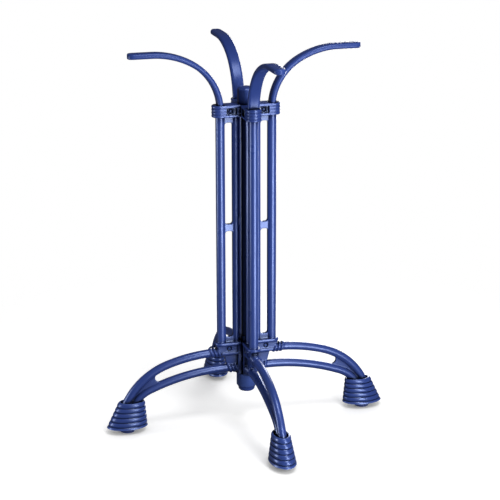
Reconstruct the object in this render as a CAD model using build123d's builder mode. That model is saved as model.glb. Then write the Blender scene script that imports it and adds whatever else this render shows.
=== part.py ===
"""Cast iron table base: four leg frames round a tie rod, four top arms, ribbed feet and glides.

Each quarter is drawn along +X and turned about Z to its place. Millimetres, +Z up, floor at Z = 0.
"""

import os
from math import asin, atan, atan2, cos, degrees, radians, sin

from build123d import *

os.makedirs("parts", exist_ok=True)

QUARTERS = {"right": 0, "rear": 90, "left": 180, "front": 270}

# Overall
HEIGHT = 720.0
FOOT_CIRCLE_R = 234.5
ARM_REACH = 219.0

# Fits
SLIP = 0.2
LOOSE = 0.3

# Glides and feet
GLIDE_D = 27.4
GLIDE_H = 6.0
STUD_D = 8.0
STUD_LENGTH = 30.0
FOOT_FLOOR_T = 5.0
FOOT_H = 53.0
FOOT_RINGS = 6
FOOT_RING_DEPTH = 1.8
FOOT_BASE_LENGTH = 78.0
FOOT_BASE_WIDTH = 48.6
FOOT_TOP_LENGTH = 53.4
FOOT_TOP_WIDTH = 34.4
FOOT_TOP_SHIFT = 8.6
FOOT_END_SHARE = 0.46
FOOT_WALL = 2.4

# Posts and the bridges between them
OUTER_POST_D = 17.0
OUTER_POST_R = 49.4
INNER_POST_D = 12.8
INNER_POST_R = 20.8
BRIDGE_T = 8.0
MID_BRIDGE_Z = 384.9
MID_BRIDGE_H = 13.4
TOP_BRIDGE_H = 11.0
BOTTOM_BRIDGE_H = 10.0
OPENING_CORNER_R = 4.6

# Collar at the top of the posts
ARM_RISE = 102.3
COLLAR_H = 22.6
COLLAR_W = 29.0
COLLAR_END_R = 65.0
COLLAR_BEADS = 4
BEAD_DEPTH = 1.6
COLLAR_POCKET_INNER_R = 20.5
COLLAR_POCKET_L = 20.0
COLLAR_CHEEK_W = 17.0
COLLAR_BOLT_R = 31.5
BOSS_D = 12.4
BOSS_H = 1.6

# Bracket at the foot of the posts
FRAME_INNER_R = 12.0
BRACKET_TOP = 160.0
BRACKET_H = 65.0
FLANGE_T = 6.0
FLANGE_W = 24.6
FLANGE_END_R = 62.6
FLANGE_EDGE = 1.6
BRACKET_POCKET_H = 13.0
BRACKET_CHEEK_W = 16.0
RAIL_H = 5.5
RAIL_W = 21.0
RAIL_END_R = 51.0
RIB_W = 22.0
RIB_T = 7.5
LOWER_WEB_T = 9.0
BRACKET_BOLT_R = 36.0

# Leg bars, their nozzles and the web between them
BAR_D = 15.8
UPPER_BAR_DROP = 20.3
BAR_SPREAD = 33.0
UPPER_BOW_START_R = 60.0
UPPER_BOW_ANGLE = 18.0
UPPER_OVERRUN = 17.5
LOWER_BOW_START_R = 42.0
LOWER_BOW_ANGLE = 22.0
BAR_END_SPACING = 15.6
WEB_T = 6.0
GAP_END_UPPER = 0.11
GAP_END_LOWER = 0.86
RING_COUNT = 3
RING_PITCH = 6.7
RING_CREST = 2.5
RING_VALLEY = 1.1
RING_LEAN = 22.0
UPPER_RING_R = 55.5
LOWER_RING_R = 21.0

# Top arms
ARM_W = 22.5
ARM_T = 10.5
ARM_EDGE = 2.6
ARM_ROOT_R = 48.9
ARM_BEND_L = 125.8
ARM_OUTER_BEND_R = 150.0
ARM_TENON = 13.0
ARM_TENON_STRAIGHT = 2.0
SOCKET_GAP = 2.2

# Tie rod, nut, cap and spiders on the centre line
ROD_D = 19.0
ROD_END_D = 12.0
NUT_FLATS = 30.0
NUT_H = 31.0
NUT_EDGE = 4.0
CAP_D = 38.4
CAP_H = 36.0
CAP_TIP_D = 31.4
CAP_TIP_H = 11.0
CAP_EDGE = 4.0
HUB_D = 22.8
HUB_STAND = 10.0
TONGUE_T = 6.0
TONGUE_H = 10.0
TONGUE_END = 8.0

# Clamp bolts and their round nuts, sunk in the cheeks
BOLT_D = 4.0
BOLT_HEAD_D = 6.6
BOLT_HEAD_H = 2.2
CLAMP_NUT_D = 6.6
CLAMP_NUT_H = 2.2
SINK_D = 9.6
SINK_DEPTH = 2.2

# Levels and places that follow from the sizes above
COLLAR_TOP = HEIGHT - ARM_RISE
COLLAR_BOTTOM = COLLAR_TOP - COLLAR_H
COLLAR_MID = (COLLAR_TOP + COLLAR_BOTTOM) / 2
BRACKET_BOTTOM = BRACKET_TOP - BRACKET_H
FLANGE_BOTTOM = BRACKET_TOP - FLANGE_T
RAIL_TOP = FLANGE_BOTTOM - BRACKET_POCKET_H
RAIL_BOTTOM = RAIL_TOP - RAIL_H
POCKET_MID = (FLANGE_BOTTOM + RAIL_TOP) / 2
FOOT_BOTTOM = GLIDE_H
FOOT_FLOOR = FOOT_BOTTOM + FOOT_FLOOR_T
FOOT_TOP = FOOT_BOTTOM + FOOT_H
UPPER_BAR_Z = BRACKET_TOP - UPPER_BAR_DROP
LOWER_BAR_Z = UPPER_BAR_Z - BAR_SPREAD
SLOT_T = TONGUE_T + 2 * SLIP
SLOT_H = TONGUE_H + 2 * SLIP
CLAMPS = (
    (COLLAR_BOLT_R, COLLAR_MID, COLLAR_CHEEK_W / 2 - SINK_DEPTH),
    (BRACKET_BOLT_R, POCKET_MID, BRACKET_CHEEK_W / 2 - SINK_DEPTH),
)


def round_ended_bar(inner_r, end_r, width):
    """Add a bar along X to the open sketch, square at inner_r and round at end_r."""
    centre_r = end_r - width / 2
    with Locations(((inner_r + centre_r) / 2, 0)):
        Rectangle(centre_r - inner_r, width)
    with Locations((centre_r, 0)):
        Circle(width / 2)


def bow_and_knee(start_r, start_z, end, bow_angle):
    """Return the radii of a level bow and the knee it runs into, which ends upright at end."""
    rise, run = sin(radians(bow_angle)), cos(radians(bow_angle))
    knee_share = (1 - rise) / run
    fall = start_z - end[1]
    bow_r = (end[0] - start_r - fall * knee_share) / (rise - knee_share * (1 - run))
    return bow_r, (fall - bow_r * (1 - run)) / run


def side_radius(half_length, half_width, end_radius):
    """Return the radius of an oval's long arcs that run smoothly into its end arcs."""
    spare = half_length**2 + half_width**2 - 2 * half_length * end_radius
    return spare / (2 * (half_width - end_radius))


def oval(half_length, half_width):
    """Return a four-arc oval face about the origin, long along X."""
    tight_radius = half_width**2 / half_length
    end_radius = tight_radius + FOOT_END_SHARE * (half_width - tight_radius)
    turn = atan2(side_radius(half_length, half_width, end_radius) - half_width, half_length - end_radius)
    joint_x = half_length - end_radius + end_radius * cos(turn)
    joint_y = end_radius * sin(turn)
    with BuildSketch() as outline:
        with BuildLine():
            ThreePointArc((joint_x, -joint_y), (half_length, 0), (joint_x, joint_y))
            ThreePointArc((joint_x, joint_y), (0, half_width), (-joint_x, joint_y))
            ThreePointArc((-joint_x, joint_y), (-half_length, 0), (-joint_x, -joint_y))
            ThreePointArc((-joint_x, -joint_y), (0, -half_width), (joint_x, -joint_y))
        make_face()
    return outline.sketch


def save(piece, name):
    """Label a finished piece and write its STEP file."""
    piece.label = name
    export_step(piece, f"parts/{name}.step")


# One bead of the collar, a slab with bevelled edges
with BuildPart() as collar_bead:
    with BuildSketch():
        round_ended_bar(FRAME_INNER_R, COLLAR_END_R, COLLAR_W)
    extrude(amount=COLLAR_H / COLLAR_BEADS)
    bead_faces = faces().filter_by(Axis.Z)
    chamfer(bead_faces.edges(), BEAD_DEPTH)

# The bracket's flange
with BuildPart() as flange:
    with BuildSketch():
        round_ended_bar(FRAME_INNER_R, FLANGE_END_R, FLANGE_W)
    extrude(amount=FLANGE_T)
    flange_faces = faces().filter_by(Axis.Z)
    chamfer(flange_faces.edges(), FLANGE_EDGE)

# One ring of a nozzle, a bead round the X axis that clears the bar inside it
with BuildPart() as nozzle_ring:
    ring_half = RING_PITCH * cos(radians(RING_LEAN)) / 2
    with BuildSketch(Plane.XZ):
        with BuildLine():
            Polyline(
                (-ring_half, 0),
                (-ring_half, BAR_D / 2 + RING_VALLEY),
                (0, BAR_D / 2 + RING_CREST),
                (ring_half, BAR_D / 2 + RING_VALLEY),
                (ring_half, 0),
                close=True,
            )
        make_face()
    revolve(axis=Axis.X)

# Centre lines of the leg bars: level, a long bow, then a knee that ends upright in the foot
upper_end = (FOOT_CIRCLE_R + BAR_END_SPACING, FOOT_FLOOR - UPPER_OVERRUN)
upper_bow_r, upper_knee_r = bow_and_knee(UPPER_BOW_START_R, UPPER_BAR_Z, upper_end, UPPER_BOW_ANGLE)
with BuildLine(Plane.XZ) as upper_path:
    Line((INNER_POST_R, UPPER_BAR_Z), (UPPER_BOW_START_R, UPPER_BAR_Z))
    upper_bow = JernArc((UPPER_BOW_START_R, UPPER_BAR_Z), (1, 0), upper_bow_r, -UPPER_BOW_ANGLE)
    upper_knee = CenterArc(
        (upper_end[0] - upper_knee_r, upper_end[1]),
        upper_knee_r,
        90 - UPPER_BOW_ANGLE,
        UPPER_BOW_ANGLE - 90,
    )
lower_end = (FOOT_CIRCLE_R, FOOT_FLOOR)
lower_bow_r, lower_knee_r = bow_and_knee(LOWER_BOW_START_R, LOWER_BAR_Z, lower_end, LOWER_BOW_ANGLE)
with BuildLine(Plane.XZ) as lower_path:
    Line((FRAME_INNER_R + RIB_T / 2, LOWER_BAR_Z), (LOWER_BOW_START_R, LOWER_BAR_Z))
    lower_bow = JernArc((LOWER_BOW_START_R, LOWER_BAR_Z), (1, 0), lower_bow_r, -LOWER_BOW_ANGLE)
    lower_knee = CenterArc(
        (lower_end[0] - lower_knee_r, lower_end[1]),
        lower_knee_r,
        90 - LOWER_BOW_ANGLE,
        LOWER_BOW_ANGLE - 90,
    )

# One leg frame casting
with BuildPart() as leg_frame:
    # posts
    for post_r, post_d in ((OUTER_POST_R, OUTER_POST_D), (INNER_POST_R, INNER_POST_D)):
        with BuildSketch(Plane.XY.offset(FLANGE_BOTTOM)):
            with Locations((post_r, 0)):
                Circle(post_d / 2)
        extrude(amount=COLLAR_MID - FLANGE_BOTTOM)
    # bridges, one plate with two slots that have round corners
    post_gap = (OUTER_POST_R - OUTER_POST_D / 2) - (INNER_POST_R + INNER_POST_D / 2)
    slot_r = INNER_POST_R + INNER_POST_D / 2 + post_gap / 2
    slot_spans = (
        (BRACKET_TOP + BOTTOM_BRIDGE_H, MID_BRIDGE_Z - MID_BRIDGE_H / 2),
        (MID_BRIDGE_Z + MID_BRIDGE_H / 2, COLLAR_BOTTOM - TOP_BRIDGE_H),
    )
    with BuildSketch(Plane.XZ):
        with Locations((slot_r, (FLANGE_BOTTOM + COLLAR_MID) / 2)):
            Rectangle(post_gap + INNER_POST_D / 2, COLLAR_MID - FLANGE_BOTTOM)
        for slot_low, slot_high in slot_spans:
            with Locations((slot_r, (slot_low + slot_high) / 2)):
                RectangleRounded(
                    post_gap + 2 * LOOSE,
                    slot_high - slot_low,
                    OPENING_CORNER_R,
                    mode=Mode.SUBTRACT,
                )
    extrude(amount=BRIDGE_T / 2, both=True)
    # collar
    bead_h = COLLAR_H / COLLAR_BEADS
    with Locations([(0, 0, COLLAR_BOTTOM + i * bead_h) for i in range(COLLAR_BEADS)]):
        add(collar_bead.part)
    # bracket: flange, cheek plate, lower web, rail and rib
    with Locations((0, 0, FLANGE_BOTTOM)):
        add(flange.part)
    cheek_end_r = RAIL_END_R + (FLANGE_BOTTOM - RAIL_BOTTOM) / 2
    with BuildSketch(Plane.XZ):
        with BuildLine():
            Polyline(
                (FRAME_INNER_R, RAIL_BOTTOM),
                (FRAME_INNER_R, FLANGE_BOTTOM),
                (cheek_end_r, FLANGE_BOTTOM),
                (RAIL_END_R, RAIL_BOTTOM),
                close=True,
            )
        make_face()
    extrude(amount=BRACKET_CHEEK_W / 2, both=True)
    lower_nozzle_end_r = LOWER_RING_R + (RING_COUNT - 0.5) * RING_PITCH
    with BuildSketch(Plane.XZ):
        with BuildLine():
            Polyline(
                (FRAME_INNER_R, BRACKET_BOTTOM),
                (FRAME_INNER_R, RAIL_BOTTOM),
                (RAIL_END_R - RAIL_H, RAIL_BOTTOM),
                (lower_nozzle_end_r, LOWER_BAR_Z),
                (FRAME_INNER_R + RIB_T, BRACKET_BOTTOM),
                close=True,
            )
        make_face()
    extrude(amount=LOWER_WEB_T / 2, both=True)
    with Locations((FRAME_INNER_R, 0, RAIL_BOTTOM)):
        Box(RAIL_END_R - FRAME_INNER_R, RAIL_W, RAIL_H, align=(Align.MIN, Align.CENTER, Align.MIN))
    with Locations((FRAME_INNER_R, 0, BRACKET_BOTTOM)):
        Box(RIB_T, RIB_W, FLANGE_BOTTOM - BRACKET_BOTTOM, align=(Align.MIN, Align.CENTER, Align.MIN))
    # leg bars, cut level where they stand on the foot's floor
    for path in (upper_path, lower_path):
        with BuildSketch(Plane(origin=path.line @ 0, z_dir=path.line % 0)):
            Circle(BAR_D / 2)
        sweep(path=path.line)
    # web between the bars, with a round end to the gap
    upper_edge = [upper_knee @ t for t in (GAP_END_UPPER, 0.3, 0.55, 0.8)]
    lower_edge = [lower_bow @ GAP_END_LOWER, lower_knee @ 0, lower_knee @ 0.35, lower_knee @ 0.7]
    web_outline = [(p.X, p.Z) for p in upper_edge + lower_edge[::-1]]
    gap_end = (upper_edge[0] + lower_edge[0]) / 2
    gap_end_r = (upper_edge[0] - lower_edge[0]).length / 2 - BAR_D / 2 + LOOSE
    with BuildSketch(Plane.XZ):
        with BuildLine():
            Polyline(*web_outline, close=True)
        make_face()
        with Locations((gap_end.X, gap_end.Z)):
            Circle(gap_end_r, mode=Mode.SUBTRACT)
    extrude(amount=WEB_T / 2, both=True)
    # nozzle rings, leaning outward at the top
    ring_places = [
        Location((first_r + i * RING_PITCH, 0, bar_z), (0, RING_LEAN, 0))
        for first_r, bar_z in ((UPPER_RING_R, UPPER_BAR_Z), (LOWER_RING_R, LOWER_BAR_Z))
        for i in range(RING_COUNT)
    ]
    with Locations(*ring_places):
        add(nozzle_ring.part)
    # pockets for the clamp bolts in the collar
    pocket_depth = (COLLAR_W - COLLAR_CHEEK_W) / 2
    pocket_y = (COLLAR_W + COLLAR_CHEEK_W) / 4
    pocket_h = bead_h * (COLLAR_BEADS - 2) + BEAD_DEPTH
    with Locations(*[(COLLAR_POCKET_INNER_R, side * pocket_y, COLLAR_MID) for side in (-1, 1)]):
        Box(
            COLLAR_POCKET_L,
            pocket_depth,
            pocket_h,
            align=(Align.MIN, Align.CENTER, Align.CENTER),
            mode=Mode.SUBTRACT,
        )
    # bosses for the clamp bolts in the collar's pockets
    with Locations((COLLAR_BOLT_R, 0, COLLAR_MID)):
        Cylinder(BOSS_D / 2, COLLAR_CHEEK_W + 2 * BOSS_H, rotation=(90, 0, 0))
    # slots for the spiders' tongues, holes for the clamp bolts and sinks for their heads and nuts
    for bolt_r, level, seat in CLAMPS:
        with Locations((0, 0, level)):
            Box(
                bolt_r + TONGUE_END + SLIP,
                SLOT_T,
                SLOT_H,
                align=(Align.MIN, Align.CENTER, Align.CENTER),
                mode=Mode.SUBTRACT,
            )
        with Locations((bolt_r, 0, level)):
            Cylinder(BOLT_D / 2 + LOOSE, 2 * seat, rotation=(90, 0, 0), mode=Mode.SUBTRACT)
        sink_y = seat + (SINK_DEPTH + BOSS_H) / 2
        with Locations((bolt_r, sink_y, level), (bolt_r, -sink_y, level)):
            Cylinder(SINK_D / 2, SINK_DEPTH + BOSS_H, rotation=(90, 0, 0), mode=Mode.SUBTRACT)
    # socket for the arm, with a gap on its outer side
    with BuildSketch(Plane.XY.offset(COLLAR_TOP - ARM_TENON)):
        with Locations((ARM_ROOT_R + SOCKET_GAP / 2, 0)):
            RectangleRounded(ARM_T + 2 * LOOSE + SOCKET_GAP, ARM_W + 2 * LOOSE, ARM_EDGE + LOOSE)
    extrude(amount=ARM_TENON, mode=Mode.SUBTRACT)
    # level end on the foot's floor, with a hole for the glide's stud
    with Locations((FOOT_CIRCLE_R, 0, FOOT_FLOOR)):
        Box(
            FOOT_BASE_LENGTH,
            FOOT_BASE_WIDTH,
            FOOT_FLOOR + UPPER_OVERRUN,
            align=(Align.CENTER, Align.CENTER, Align.MAX),
            mode=Mode.SUBTRACT,
        )
        Cylinder(
            STUD_D / 2 + SLIP,
            STUD_LENGTH - FOOT_FLOOR_T + SLIP,
            align=(Align.CENTER, Align.CENTER, Align.MIN),
            mode=Mode.SUBTRACT,
        )
    # inner corners mitred against the two neighbours
    with BuildSketch():
        with BuildLine():
            Polyline((LOOSE, 0), (HEIGHT + LOOSE, HEIGHT), (HEIGHT + LOOSE, -HEIGHT), close=True)
        make_face()
    extrude(amount=HEIGHT, mode=Mode.INTERSECT)

# One top arm: a short straight tenon, two bends and a level end
arm_bottom = COLLAR_TOP - ARM_TENON
arm_bend_z = arm_bottom + ARM_TENON_STRAIGHT
arm_level_z = HEIGHT - ARM_T / 2
arm_root_bend_r = side_radius(arm_level_z - arm_bend_z, ARM_BEND_L, ARM_OUTER_BEND_R)
arm_outer_angle = degrees(asin((ARM_BEND_L - arm_root_bend_r) / (ARM_OUTER_BEND_R - arm_root_bend_r)))
with BuildPart() as top_arm:
    with BuildLine(Plane.XZ) as arm_path:
        Line((ARM_ROOT_R, arm_bottom), (ARM_ROOT_R, arm_bend_z))
        JernArc((ARM_ROOT_R, arm_bend_z), (0, 1), arm_root_bend_r, arm_outer_angle - 90)
        CenterArc(
            (ARM_ROOT_R + ARM_BEND_L, arm_level_z - ARM_OUTER_BEND_R),
            ARM_OUTER_BEND_R,
            90 + arm_outer_angle,
            -arm_outer_angle,
        )
        Line((ARM_ROOT_R + ARM_BEND_L, arm_level_z), (ARM_REACH, arm_level_z))
    with BuildSketch(Plane.XY.offset(arm_bottom)) as arm_section:
        with Locations((ARM_ROOT_R, 0)):
            Rectangle(ARM_T, ARM_W)
        chamfer(arm_section.vertices(), ARM_EDGE)
    sweep(path=arm_path.line)
    with BuildSketch(Plane.XY.offset(arm_bottom)):
        round_ended_bar(0, ARM_REACH, ARM_W)
    extrude(amount=HEIGHT - arm_bottom, mode=Mode.INTERSECT)

# One foot: a stack of ringed ovals that shrink upward, hollow inside with an even wall
ring_h = FOOT_H / FOOT_RINGS
ring_taper = degrees(atan(FOOT_RING_DEPTH / (ring_h / 2)))
foot_wall = FOOT_RING_DEPTH + FOOT_WALL
foot_rings = []
for i in range(FOOT_RINGS):
    share = i / (FOOT_RINGS - 1)
    foot_rings.append(
        (
            FOOT_CIRCLE_R - share * FOOT_TOP_SHIFT,
            FOOT_BOTTOM + i * ring_h,
            FOOT_BASE_LENGTH / 2 + share * (FOOT_TOP_LENGTH - FOOT_BASE_LENGTH) / 2,
            FOOT_BASE_WIDTH / 2 + share * (FOOT_TOP_WIDTH - FOOT_BASE_WIDTH) / 2,
        )
    )
with BuildPart() as foot:
    for centre_r, low, half_length, half_width in foot_rings:
        with BuildSketch(Plane((centre_r, 0, low + ring_h / 2))):
            add(oval(half_length, half_width))
        extrude(amount=ring_h / 2, both=True, taper=ring_taper)
    for centre_r, low, half_length, half_width in foot_rings:
        hollow_low = max(low, FOOT_FLOOR)
        with BuildSketch(Plane((centre_r, 0, hollow_low))):
            add(oval(half_length - foot_wall, half_width - foot_wall))
        extrude(amount=low + ring_h - hollow_low, mode=Mode.SUBTRACT)
    with Locations((FOOT_CIRCLE_R, 0, FOOT_FLOOR)):
        Cylinder(STUD_D / 2 + LOOSE, 2 * FOOT_FLOOR_T, mode=Mode.SUBTRACT)

# One glide: a pad with a stud
with BuildPart() as glide:
    with Locations((FOOT_CIRCLE_R, 0, 0)):
        Cylinder(GLIDE_D / 2, GLIDE_H, align=(Align.CENTER, Align.CENTER, Align.MIN))
    with Locations((FOOT_CIRCLE_R, 0, GLIDE_H)):
        Cylinder(STUD_D / 2, STUD_LENGTH, align=(Align.CENTER, Align.CENTER, Align.MIN))

# Clamp bolts and nuts of one quarter, across the collar and across the bracket
with BuildPart() as clamp_bolts:
    for bolt_r, level, seat in CLAMPS:
        with BuildSketch(Plane.XZ.offset(-seat)):
            with Locations((bolt_r, level)):
                Circle(BOLT_HEAD_D / 2)
        extrude(amount=-BOLT_HEAD_H)
        with BuildSketch(Plane.XZ.offset(-seat)):
            with Locations((bolt_r, level)):
                Circle(BOLT_D / 2)
        extrude(amount=2 * seat + CLAMP_NUT_H)
with BuildPart() as clamp_nuts:
    for bolt_r, level, seat in CLAMPS:
        with BuildSketch(Plane.XZ.offset(seat)):
            with Locations((bolt_r, level)):
                Circle(CLAMP_NUT_D / 2)
                Circle(BOLT_D / 2 + SLIP, mode=Mode.SUBTRACT)
        extrude(amount=CLAMP_NUT_H)

for quarter, angle in QUARTERS.items():
    for source, name in ((leg_frame, "leg_frame"), (top_arm, "top_arm"), (foot, "foot"), (glide, "glide")):
        with BuildPart() as placed:
            add(source.part, rotation=(0, 0, angle))
        save(placed.part, f"{name}_{quarter}")

for source, name in ((clamp_bolts, "clamp_bolts"), (clamp_nuts, "clamp_nuts")):
    with BuildPart() as group:
        for angle in QUARTERS.values():
            add(source.part, rotation=(0, 0, angle))
    save(group.part, name)

# Spiders: a hub on the rod with four tongues
hub_spans = {
    "top_spider": (COLLAR_BOTTOM, COLLAR_TOP),
    "bottom_spider": (RAIL_BOTTOM, BRACKET_TOP + HUB_STAND),
}
for (name, (hub_bottom, hub_top)), (bolt_r, level, seat) in zip(hub_spans.items(), CLAMPS):
    with BuildPart() as spider:
        with BuildSketch(Plane.XY.offset(hub_bottom)):
            Circle(HUB_D / 2)
        extrude(amount=hub_top - hub_bottom)
        with PolarLocations(0, len(QUARTERS)):
            with Locations((0, 0, level)):
                Box(
                    bolt_r + TONGUE_END,
                    TONGUE_T,
                    TONGUE_H,
                    align=(Align.MIN, Align.CENTER, Align.CENTER),
                )
        with PolarLocations(bolt_r, len(QUARTERS)):
            with Locations((0, 0, level)):
                Cylinder(BOLT_D / 2 + LOOSE, 2 * seat, rotation=(90, 0, 0), mode=Mode.SUBTRACT)
        with Locations((0, 0, hub_bottom)):
            Cylinder(ROD_END_D / 2 + SLIP, 2 * hub_top, mode=Mode.SUBTRACT)
    save(spider.part, name)

# Tie rod, thick between the spiders and thin through them
with BuildPart() as tie_rod:
    for diameter, low, high in (
        (ROD_END_D, BRACKET_BOTTOM - CAP_H / 2, COLLAR_TOP + NUT_H - NUT_EDGE),
        (ROD_D, hub_spans["bottom_spider"][1], hub_spans["top_spider"][0]),
    ):
        with BuildSketch(Plane.XY.offset(low)):
            Circle(diameter / 2)
        extrude(amount=high - low)
save(tie_rod.part, "tie_rod")

# Eight-sided nut on the collars
with BuildPart() as top_nut:
    with BuildSketch(Plane.XY.offset(COLLAR_TOP)):
        RegularPolygon(NUT_FLATS / 2, 8, major_radius=False, rotation=22.5)
    extrude(amount=NUT_H)
    chamfer(faces().sort_by(Axis.Z)[-1].edges(), NUT_EDGE)
    with Locations((0, 0, COLLAR_TOP)):
        Cylinder(
            ROD_END_D / 2 + SLIP,
            NUT_H - NUT_EDGE + SLIP,
            align=(Align.CENTER, Align.CENTER, Align.MIN),
            mode=Mode.SUBTRACT,
        )
save(top_nut.part, "top_nut")

# Round cap under the brackets
cap_bottom = BRACKET_BOTTOM - CAP_H
with BuildPart() as bottom_cap:
    with BuildSketch(Plane.XZ):
        with BuildLine():
            Polyline(
                (0, cap_bottom),
                (CAP_TIP_D / 2 - CAP_EDGE, cap_bottom),
                (CAP_TIP_D / 2, cap_bottom + CAP_EDGE),
                (CAP_TIP_D / 2, cap_bottom + CAP_TIP_H),
                (CAP_D / 2, cap_bottom + CAP_TIP_H),
                (CAP_D / 2, BRACKET_BOTTOM),
                (0, BRACKET_BOTTOM),
                close=True,
            )
        make_face()
    revolve(axis=Axis.Z)
    with Locations((0, 0, BRACKET_BOTTOM)):
        Cylinder(
            ROD_END_D / 2 + SLIP,
            CAP_H / 2 + SLIP,
            align=(Align.CENTER, Align.CENTER, Align.MAX),
            mode=Mode.SUBTRACT,
        )
save(bottom_cap.part, "bottom_cap")
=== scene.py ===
"""Dresses the cast iron table base: leg castings, curved arms, ringed feet and a white studio.

Sizes in the classes are millimetres, drawn along +X for one quarter and turned about Z to the
others. Blender's own numbers are metres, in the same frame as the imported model.
"""

import logging
import math
from dataclasses import dataclass
from enum import Enum
from typing import Callable, Iterable, Sequence

import bmesh
import bpy
from mathutils import Matrix, Vector


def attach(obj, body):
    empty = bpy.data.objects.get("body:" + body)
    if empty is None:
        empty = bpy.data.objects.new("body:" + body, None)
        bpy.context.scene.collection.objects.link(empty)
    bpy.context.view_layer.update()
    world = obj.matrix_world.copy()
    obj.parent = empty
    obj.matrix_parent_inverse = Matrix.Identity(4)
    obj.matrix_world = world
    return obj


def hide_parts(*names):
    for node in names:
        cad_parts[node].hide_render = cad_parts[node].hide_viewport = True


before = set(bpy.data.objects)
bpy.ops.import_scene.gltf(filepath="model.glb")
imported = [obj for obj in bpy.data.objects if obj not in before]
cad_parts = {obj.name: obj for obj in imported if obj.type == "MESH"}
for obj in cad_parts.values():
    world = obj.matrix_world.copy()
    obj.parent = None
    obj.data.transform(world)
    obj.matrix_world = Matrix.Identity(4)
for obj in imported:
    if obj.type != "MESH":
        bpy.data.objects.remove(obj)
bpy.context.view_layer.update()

LOG = logging.getLogger("table_base")
MM = 0.001
SHADE_RAYS = 16
ALONG_X = (0, math.pi / 2, 0)
ALONG_Y = (math.pi / 2, 0, 0)
ALONG_Z = (0, 0, 0)

Point = tuple[float, float]
Place = tuple[float, float, float]


class Quarter(Enum):
    """The four places of a leg round the centre line, by their angle about Z."""

    RIGHT = 0
    REAR = 90
    LEFT = 180
    FRONT = 270

    @property
    def label(self) -> str:
        """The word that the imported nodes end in."""
        return self.name.lower()


class Slot(Enum):
    """The record's material slots."""

    CASTING = "blue_casting"
    BAR = "blue_bar"
    GLIDE = "glide_plastic"


# Modelling by hand


def clear_selection() -> None:
    """Leave edit mode and deselect everything."""
    if bpy.context.object and bpy.context.object.mode != "OBJECT":
        bpy.ops.object.mode_set(mode="OBJECT")
    bpy.ops.object.select_all(action="DESELECT")


def choose(piece: bpy.types.Object) -> None:
    """Select one object alone and make it active."""
    clear_selection()
    piece.select_set(True)
    bpy.context.view_layer.objects.active = piece


def start(name: str, adder: Callable[..., object], **settings: object) -> bpy.types.Object:
    """Add a primitive with its place in its mesh and open it for editing, all selected.

    Args:
        name: The new object's name.
        adder: The primitive's operator.
        settings: The operator's own settings, in metres and radians.

    Returns:
        The new object, in edit mode.
    """
    clear_selection()
    adder(**settings)
    piece = bpy.context.active_object
    piece.name = name
    piece.data.name = name
    bpy.ops.object.transform_apply(location=True, rotation=True, scale=True)
    bpy.ops.object.mode_set(mode="EDIT")
    bpy.ops.mesh.select_all(action="SELECT")
    return piece


def circle(
    name: str, corners: int, radius: float, place: Sequence[float], turn: Place = ALONG_Z
) -> bpy.types.Object:
    """Start a piece from an open circle.

    Args:
        name: The new object's name.
        corners: How many corners the circle has.
        radius: Its radius in millimetres.
        place: Its centre in millimetres.
        turn: How its axis is turned, in radians about X, Y and Z.

    Returns:
        The new object, in edit mode.
    """
    return start(
        name,
        bpy.ops.mesh.primitive_circle_add,
        vertices=corners,
        radius=radius * MM,
        location=tuple(v * MM for v in place),
        rotation=turn,
    )


def duplicate(piece: bpy.types.Object) -> bpy.types.Object:
    """Copy an object with a mesh of its own."""
    copy = piece.copy()
    copy.data = piece.data.copy()
    bpy.context.collection.objects.link(copy)
    return copy


def pick(piece: bpy.types.Object, test: Callable[[Vector], bool]) -> None:
    """Select the corners that pass a test of their place, and what lies between them.

    Args:
        piece: An object in edit mode.
        test: Says from a corner's place, in millimetres, if it is wanted.
    """
    bpy.ops.mesh.select_all(action="DESELECT")
    mesh = bmesh.from_edit_mesh(piece.data)
    for corner in mesh.verts:
        corner.select = test(corner.co / MM)
    mesh.select_flush(True)
    bmesh.update_edit_mesh(piece.data)


def shift(x: float, y: float, z: float) -> None:
    """Move what is selected by millimetres."""
    bpy.ops.transform.translate(value=(x * MM, y * MM, z * MM))


def extrude(x: float, y: float, z: float) -> None:
    """Extrude what is selected by millimetres."""
    bpy.ops.mesh.extrude_region_move(TRANSFORM_OT_translate={"value": (x * MM, y * MM, z * MM)})


def scale(factors: Sequence[float], about: Sequence[float]) -> None:
    """Scale what is selected about a place in millimetres."""
    bpy.ops.transform.resize(value=tuple(factors), center_override=tuple(v * MM for v in about))


def raise_round(levels: Sequence[Point], centre_r: float = 0.0) -> None:
    """Raise what is selected from level to level round an upright axis.

    Args:
        levels: Each level's height and radius; the first is where the selection is.
        centre_r: The axis's distance from the centre line.
    """
    for (z0, r0), (z1, r1) in zip(levels, levels[1:]):
        extrude(0, 0, z1 - z0)
        scale((r1 / r0, r1 / r0, 1), (centre_r, 0, z1))


def round_corners(radius: float, segments: int) -> None:
    """Round the corners of a flat outline, and leave the outline alone, without its face."""
    bpy.ops.mesh.bevel(offset=radius * MM, segments=segments, affect="VERTICES")
    bpy.ops.mesh.delete(type="ONLY_FACE")
    bpy.ops.mesh.select_all(action="SELECT")


def stand_back(depth: float, share: float) -> float:
    """Tell how far a round bead of a depth stands back, at a share of its height."""
    return depth * (1 - math.sqrt(1 - (2 * share - 1) ** 2))


def spin_up(centre: Point, angle: float, steps: int) -> None:
    """Sweep what is selected round an axis along Y, from +Z towards +X.

    Args:
        centre: The axis's place as radius and height.
        angle: Degrees to sweep.
        steps: How many steps the sweep has.
    """
    bpy.ops.mesh.spin(
        steps=steps,
        angle=math.radians(angle),
        center=(centre[0] * MM, 0, centre[1] * MM),
        axis=(0, -1, 0),
    )


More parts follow.
